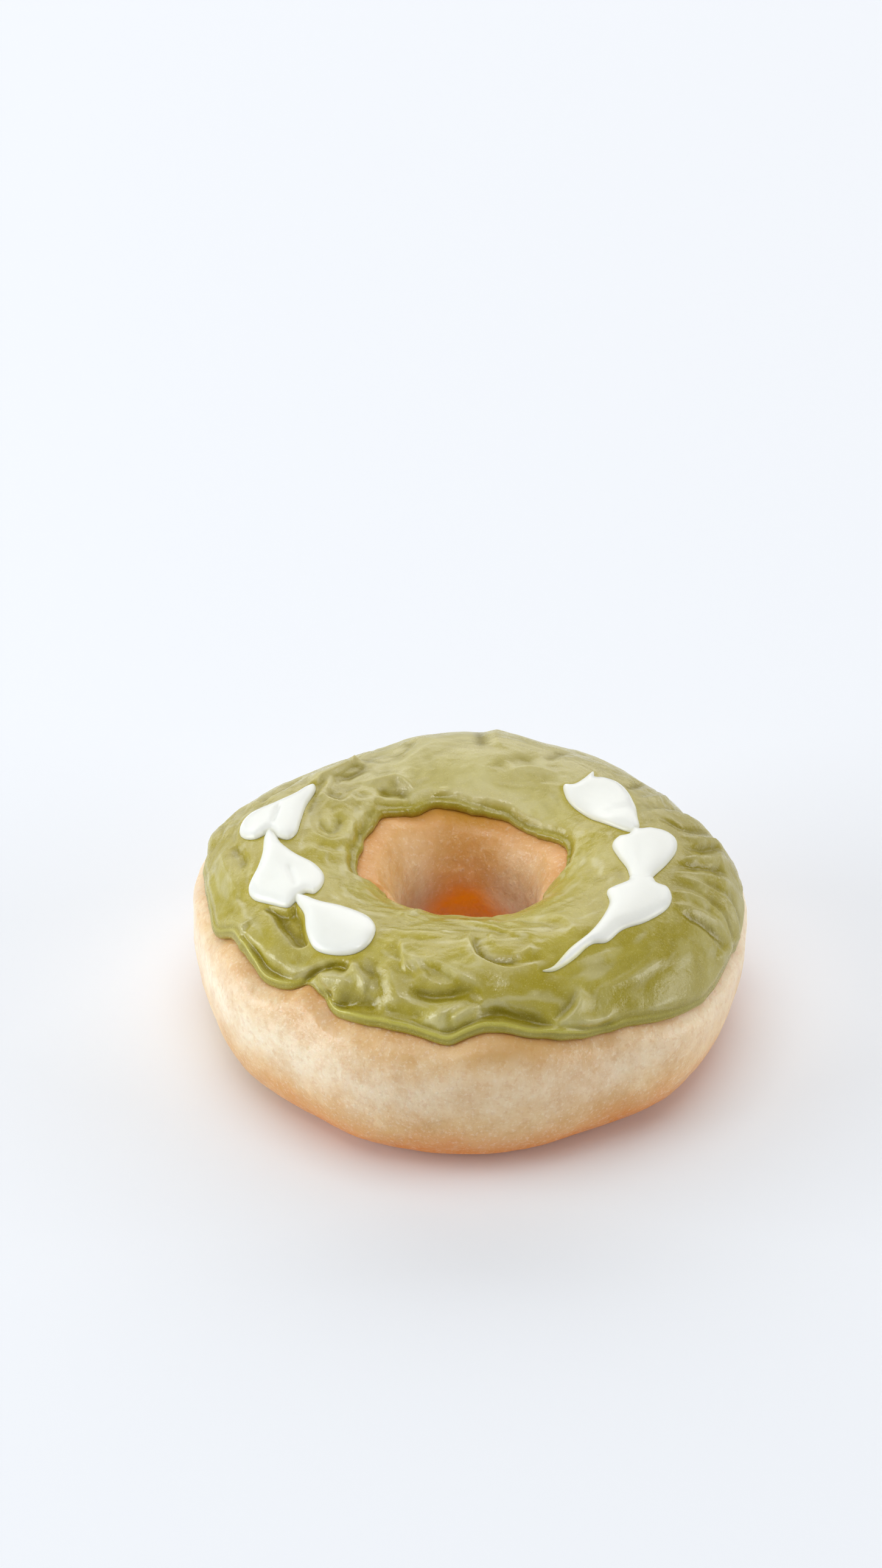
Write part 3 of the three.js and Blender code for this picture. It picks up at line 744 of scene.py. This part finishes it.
def dough_ring(material):
    theta = np.linspace(0, 2 * math.pi, DOUGH_AROUND, endpoint=False)[:, None]
    phi = np.linspace(0, 2 * math.pi, DOUGH_SECTION, endpoint=False)[None, :]
    theta, phi = np.broadcast_arrays(theta, phi)
    place = surface_point(theta, phi, 0.0)
    lumps = 0.30 * wander(place, 13.0, 4.2) + 0.14 * wander(place, 4.5, 7.7)
    lumps = lumps + 0.06 * wander(place, 1.6, 9.1)
    above_base = smoothstep(place[..., 2], 0.3, 4.0)
    points = surface_point(theta, phi, lumps * above_base - dough_dip(theta, phi) - DOUGH_INSET)
    ring = ring_mesh("dough", points, material)

    # The zones of colour, with a wandering height so that their borders aren't straight.
    height = place[..., 2] + 2.2 * wander(place, 11.0, 2.2) + 1.2 * wander(place, 3.5, 6.1)
    outside = smoothstep(np.cos(phi), -0.2, 0.2)
    pale_band = np.exp(-(((height - 16.5) / 5.2) ** 2)) * pale_strength(theta)
    # Low in the hole the walls are painted paler: a painted glow that lifts the shade there.
    hole_pale = (1 - hole_orange(theta)) * np.exp(-(((height - 14.0) / 8.0) ** 2))
    brown = outside * smoothstep(-height, -11.5, -2.5) * brown_strength(theta)
    angle = np.degrees(phi)
    # Just below the icing's edges, outside and in the hole, the dough is painted browner: the crust's
    # brown line, darkened as painted shade under the icing.
    beside_icing = np.exp(-(((outer_edge(theta) - angle) / 3.5) ** 2)) * edge_brown_and_painted_shade(theta)
    beside_icing = beside_icing + 0.7 * np.exp(-(((angle - hole_edge(theta)) / 12.0) ** 2))
    # In the hole the brown follows hole_orange, a painted glow of bounced light.
    brown = brown + (1 - outside) * (0.06 + 0.35 * hole_orange(theta)) + 0.6 * beside_icing
    # The orange wedge deep in the hole is a painted glow of light bounced between its walls.
    wedge = hole_orange(theta) * smoothstep(-height, -22.0, -9.0)
    wedge = wedge + 0.8 * smoothstep(-height, -17.0, -8.0)
    paint(ring, "pale", np.clip(outside * pale_band + (1 - outside) * hole_pale, 0, 1))
    paint(ring, "brown", np.clip(brown, 0, 1))
    # The base's orange at the floor, strongest in front, partly painted to warm the shade where the ring
    # meets the floor.
    at_floor = floor_orange(theta) * smoothstep(-place[..., 2], -5.5, -0.5)
    paint(ring, "deep", np.clip((1 - outside) * wedge + outside * at_floor, 0, 1))
    # A band under the icing's edge in front and at the top of the hole, darkened as painted shade under
    # the icing.
    around_front_band = ((np.degrees(theta) - 279) / 10) ** 2
    front_band_and_shade = np.exp(-around_front_band - (((place[..., 2] - 23.4) / 2.4) ** 2))
    hole_top_band_and_shade = (1 - outside) * (0.1 + 0.9 * hole_orange(theta)) * smoothstep(height, 20.0, 28.0)
    paint(ring, "brown_band_and_painted_shade", np.clip(0.6 * front_band_and_shade + 0.85 * hole_top_band_and_shade, 0, 1))
    return ring


# ---------------------------------------------------------------- green icing

ICING_AROUND = 680
ICING_TOP = 125
ICING_EDGE = 8
ICING_UNDER = 5
CROWDING = 0.35  # the rows of the mesh stand closer together in front, where the folds are
EDGE_BLEND = 2.2  # how far in from an edge the relief is complete
LIP_WIDTH = 0.5
EDGE_NOISE_RADIUS = 40.0  # the unevenness of the edges is read on a circle of this radius
# A fold higher than TALL_FOLD has slumped, and stands at most FOLD_GIVE above that.
TALL_FOLD = 0.9
FOLD_GIVE = 0.9


def icing_offsets(theta, phi, from_outside, from_hole, depth_in_white):
    """Offset of the icing's surface, from the distances to its two edges."""
    distance_in = np.minimum(from_outside, from_hole)
    under = -dough_dip(theta, phi) - 0.1
    circle = EDGE_NOISE_RADIUS * np.stack([np.cos(theta), np.sin(theta), 0.5 * phi], axis=-1)
    rim = under + edge_thickness(theta) * (1.0 + 0.35 * wander(circle, 11.0, 7.4))
    inner = icing_relief(theta, phi, depth_in_white)
    blend = smoothstep(distance_in, 0.0, EDGE_BLEND)
    lip = lip_height(theta) * np.exp(-(((from_outside - LIP_WIDTH) / LIP_WIDTH) ** 2))
    over = rim * (1 - blend) + inner * (0.4 + 0.6 * blend) + lip
    over = np.minimum(over, TALL_FOLD + FOLD_GIVE * np.tanh((over - TALL_FOLD) / FOLD_GIVE))
    return np.maximum(over, under + 0.4)


def green_icing(material):
    even = np.linspace(0, 2 * math.pi, ICING_AROUND, endpoint=False)[:, None]
    theta = even - CROWDING * np.cos(even)
    circle = EDGE_NOISE_RADIUS * np.stack([np.cos(theta), np.sin(theta), 0 * theta], axis=-1)
    ragged = 1.6 * wander(circle, 7.0, 1.3) + 0.6 * wander(circle, 2.2, 4.4)
    bead = np.degrees(0.5 * edge_thickness(theta) / SECTION_RADIUS)
    first = outer_edge(theta) + 0.6 * ragged + bead
    last = hole_edge(theta) - ragged - bead

    share = np.linspace(0, 1, ICING_TOP)[None, :]
    phi_top = np.radians(first + (last - first) * share)
    theta_top = np.broadcast_to(theta, phi_top.shape)
    across = np.radians(last - first) * SECTION_RADIUS
    distance_in = across * np.minimum(share, 1 - share)
    radius, _ = section_point(theta_top, phi_top)
    plan = np.stack([radius * np.cos(theta_top), radius * np.sin(theta_top)], axis=-1)
    in_white = white_depth(plan)
    over = icing_offsets(theta_top, phi_top, across * share, across * (1 - share), in_white)

    share_under = np.linspace(1, 0, ICING_UNDER)[None, :]
    phi_under = np.radians(first + (last - first) * share_under)
    theta_under = np.broadcast_to(theta, phi_under.shape)
    under = -dough_dip(theta_under, phi_under) - 0.45

    turn = np.linspace(0, math.pi, ICING_EDGE + 2)[None, 1:-1]

    def rounded_edge(edge, outward, top, bottom):
        middle = (top + bottom) / 2
        half = (top - bottom) / 2
        phi_edge = np.radians(edge + outward * np.degrees(half / SECTION_RADIUS) * np.sin(turn))
        return phi_edge, middle + half * np.cos(turn)

    phi_hole, offset_hole = rounded_edge(last, 1.0, over[:, -1:], under[:, :1])
    phi_out, offset_out = rounded_edge(first, -1.0, over[:, :1], under[:, -1:])
    phi_loop = np.concatenate([phi_top, phi_hole, phi_under, phi_out[:, ::-1]], axis=1)
    offset_loop = np.concatenate([over, offset_hole, under, offset_out[:, ::-1]], axis=1)
    theta_loop = np.broadcast_to(theta, phi_loop.shape)
    icing = ring_mesh("green_icing_coat", surface_point(theta_loop, phi_loop, offset_loop), material)

    # What stands above the smoothed surface gets a painted sheen, and what lies below it gets painted
    # shade.
    smooth = over.copy()
    for _ in range(40):
        padded = np.pad(smooth, ((0, 0), (1, 1)), mode="edge")
        beside = padded[:, :-2] + padded[:, 2:]
        smooth = (smooth + beside + np.roll(smooth, 1, 0) + np.roll(smooth, -1, 0)) / 5
    beyond = ((0, 0), (0, phi_loop.shape[1] - ICING_TOP))
    # Painted shade also darkens a band along the coat's edges, and the right flank.
    edge_band = 1 - smoothstep(distance_in, 0.0, 1.3)
    hollow = np.clip((smooth - over) / 0.35, 0, 1) + 0.3 * edge_band
    hollow = hollow + 0.3 * smoothstep(plan[..., 0], 16.0, 34.0)
    # Painted sheen on the crests, more on the right flank, and towards the back, with pale brushed
    # streaks.
    polar = brushed(theta_top, radius + 4.0 * (over - smooth), 4.5, 1.2, 9.2)
    pale_streaks_and_painted_sheen = (1 + 0.4 * smoothstep(plan[..., 0], 26.0, 36.0)) * np.clip((over - smooth) / 0.5, 0, 1)
    pale_streaks_and_painted_sheen = pale_streaks_and_painted_sheen + smoothstep(polar, 0.1, 0.55)
    pale_streaks_and_painted_sheen = pale_streaks_and_painted_sheen + 0.9 * smoothstep(plan[..., 1] - 0.1 * np.abs(plan[..., 0]), -2.0, 22.0)
    pale_streaks_and_painted_sheen = np.clip(pale_streaks_and_painted_sheen, 0, 1) * smoothstep(distance_in, 0.3, 2.0) * smoothstep(-in_white, 0.2, 1.0)
    # The halo: a darker band round the white icing, partly painted contact shade.
    halo = np.exp(-((np.minimum(in_white, 0.0) / 0.55) ** 2))
    down_the_edge = np.linspace(0, 1, ICING_EDGE)
    underside = np.concatenate([down_the_edge, np.ones(ICING_UNDER), down_the_edge[::-1]])
    underside = np.broadcast_to(underside, (ICING_AROUND, len(underside)))
    # Painted shade on the top from hollow, and on the rounded edges and the underside, darkest
    # underneath.
    paint(icing, "hollow", np.concatenate([np.clip(hollow, 0, 1), 0.5 + 0.5 * underside], axis=1))
    # The lower edge rows and the underside are painted amber, the thin edge's colour made bright enough
    # to show in the shade there.
    paint(icing, "amber", np.concatenate([0 * hollow, 0.8 * underside**2], axis=1))
    # A painted highlight along the lip's crest.
    crest = lip_height(theta) * np.exp(-(((across * share - 0.4) / 0.35) ** 2))
    paint(icing, "lip", np.pad(np.clip(0.8 * crest, 0, 0.8), beyond))
    paint(icing, "pale_streaks_and_painted_sheen", np.pad(0.55 * pale_streaks_and_painted_sheen, beyond))
    paint(icing, "halo", np.pad(0.6 * halo, beyond))
    return icing


# ---------------------------------------------------------------- white icing

# Ridges and creases on the white icing, as in STROKES.
WHITE_STROKES = [
    (0.16, 0.9, 0.9, [(-32.6, 9), (-31.8, 6), (-30.9, 3)]),
    (-0.5, 0.5, 0.5, [(-29.2, 10.4), (-29.8, 6.6), (-30.2, 3.4)]),
    (0.12, 0.9, 0.9, [(-30.6, 1), (-29.6, -4), (-27.6, -10), (-26, -14)]),
    (-0.4, 0.5, 0.5, [(-27.6, -6.5), (-26.4, -10.5), (-25.6, -13.4)]),
    (0.15, 1.6, 1.6, [(19.4, 17), (21.5, 12), (24, 7)]),
    (-0.2, 0.7, 0.7, [(26, 1), (26.2, -3), (26.4, -7)]),
    (0.12, 0.9, 0.9, [(25.6, -13), (24, -17.5), (21.4, -22)]),
]
WHITE_THICKNESS = 1.0
WHITE_EDGE = 2.0
VOXEL = 0.13
# Where the white icing thins out, so that the green below it shows.
THIN_TAIL = [(16.6, -27.4), (14, -30), (11, -31.8)]


def white_chain(name, outlines, material):
    """A domed layer over outlines drawn from above, laid on the green icing."""
    lines = [smooth_line(outline, closed=True, steps=6) for outline in outlines]
    margin = 1.0
    low = np.min([line.min(axis=0) for line in lines], axis=0) - margin
    high = np.max([line.max(axis=0) for line in lines], axis=0) + margin
    xs = np.arange(low[0], high[0], VOXEL)
    ys = np.arange(low[1], high[1], VOXEL)
    hs = np.arange(-1.2, WHITE_THICKNESS + 1.2, VOXEL)
    plan = np.stack(np.meshgrid(xs, ys, indexing="ij"), axis=-1)
    depth = np.max([inside_outline(plan, line) for line in lines], axis=0)
    share = np.clip(depth / WHITE_EDGE, None, 1.0)
    dome = WHITE_THICKNESS**2 * (2 * share - share**2)
    dome = np.where(share < 0, 2 * WHITE_THICKNESS**2 * share, dome)
    flat = np.concatenate([plan, np.zeros(plan.shape[:-1] + (1,))], axis=-1)
    swell = 1.0 + 0.06 * wander(flat, 6.0, 2.4)
    for stroke in WHITE_STROKES:
        swell = swell + stroke_relief(plan, stroke)
    dome = dome * np.where(dome > 0, swell, 1.0)
    # The widest level lies a little above the green icing, and the layer is thin below it.
    level = hs[None, None, :] - 0.1
    level = np.where(level < 0, 2.5 * level, level)
    solid = (level**2 - dome[..., None]).astype(np.float32)
    grid = openvdb.FloatGrid(background=float(solid.max()))
    grid.copyFromArray(solid)
    points, _, quads = grid.convertToPolygons(isovalue=0.0, adaptivity=0.0)
    points = points.astype(float) * VOXEL + np.array([low[0], low[1], hs[0]])

    theta = np.arctan2(points[:, 1], points[:, 0])
    phi = phi_above(theta, np.hypot(points[:, 0], points[:, 1]))
    depth_there = white_depth(points[:, :2])
    relief = icing_relief(theta, phi, depth_there, with_peak=False)
    chain = mesh_object(name, surface_point(theta, phi, relief + points[:, 2]), quads[:, ::-1], material)
    to_tail, _, _ = distance_to_line(points[:, :2], np.array(THIN_TAIL, dtype=float))
    at_edge = 1 - smoothstep(depth_there, 0.1, 0.6)
    at_tail = 1 - smoothstep(to_tail, 0.6, 2.0)
    paint(chain, "thin", np.clip(0.35 * at_edge + 0.7 * at_edge * at_tail, 0, 1))
    return chain


# ---------------------------------------------------------------- camera, floor and light

def camera():
    data = bpy.data.cameras.new("camera")
    data.sensor_width = 36.0
    data.lens = 91.58
    data.clip_end = 50.0
    eye = bpy.data.objects.new("camera", data)
    eye.location = (0.0, -0.50629, 0.37387)
    eye.rotation_euler = (math.radians(90.0 - 33.196), 0.0, math.radians(0.479))
    bpy.context.collection.objects.link(eye)
    bpy.context.scene.camera = eye


def floor(material):
    reach = 4000.0
    corners = reach * np.array([(-1.0, -1.0, 0.0), (1.0, -1.0, 0.0), (1.0, 1.0, 0.0), (-1.0, 1.0, 0.0)])
    mesh_object("studio_floor", corners, np.array([[0, 1, 2, 3]]), material)


def hang_lamp(data, place, aim):
    """Puts a light in its place, turned towards its aim."""
    lamp = bpy.data.objects.new(data.name, data)
    lamp.location = place
    direction = Vector(aim) - Vector(place)
    lamp.rotation_euler = direction.to_track_quat("-Z", "Y").to_euler()
    bpy.context.collection.objects.link(lamp)


def softbox(name, size, power, place, tint=(1.0, 1.0, 1.0)):
    """A rectangular light that points at the middle of the ring."""
    data = bpy.data.lights.new(name, "AREA")
    data.shape = "RECTANGLE"
    data.size, data.size_y = size
    data.energy = power
    data.color = tint
    hang_lamp(data, place, (0, 0, 0.02))


def hole_spot(power, place, aim):
    """A soft spot that reaches the dough inside the hole."""
    data = bpy.data.lights.new("hole_spot", "SPOT")
    data.energy = power
    data.spot_size = math.radians(3.2)
    data.spot_blend = 1.0
    data.shadow_soft_size = 0.03
    hang_lamp(data, place, aim)


def studio():
    world = bpy.data.worlds.new("studio")
    world.use_nodes = True
    background = world.node_tree.nodes["Background"]
    background.inputs["Color"].default_value = (0.97, 0.98, 1.0, 1.0)
    background.inputs["Strength"].default_value = 0.23
    bpy.context.scene.world = world
    bpy.context.scene.view_settings.view_transform = "Standard"
    softbox("top_softbox", (0.9, 0.9), 4.4, (-0.10, -0.20, 1.05))
    softbox("back_softbox", (2.4, 0.8), 10.5, (0, 1.09, 0.67))
    softbox("left_softbox", (0.7, 0.4), 5.6, (-0.90, -0.15, 0.24), (0.94, 0.98, 1.0))
    softbox("right_softbox", (0.7, 0.4), 3.2, (0.90, -0.10, 0.24))
    hole_spot(19.0, (0, -0.33, 0.52), (-0.002, 0.009, 0.009))


# ---------------------------------------------------------------- the scene

camera()
studio()
floor(floor_material())

white = white_material()

dough = dough_ring(dough_material())
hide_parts("dough_ring")
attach(dough, "root")

coat = green_icing(green_material())
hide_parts("green_icing")
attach(coat, "root")

for side, hearts in (("left", LEFT_HEARTS), ("right", RIGHT_HEARTS)):
    chain = white_chain("white_hearts_" + side, hearts, white)
    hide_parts("white_icing_" + side)
    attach(chain, "root")
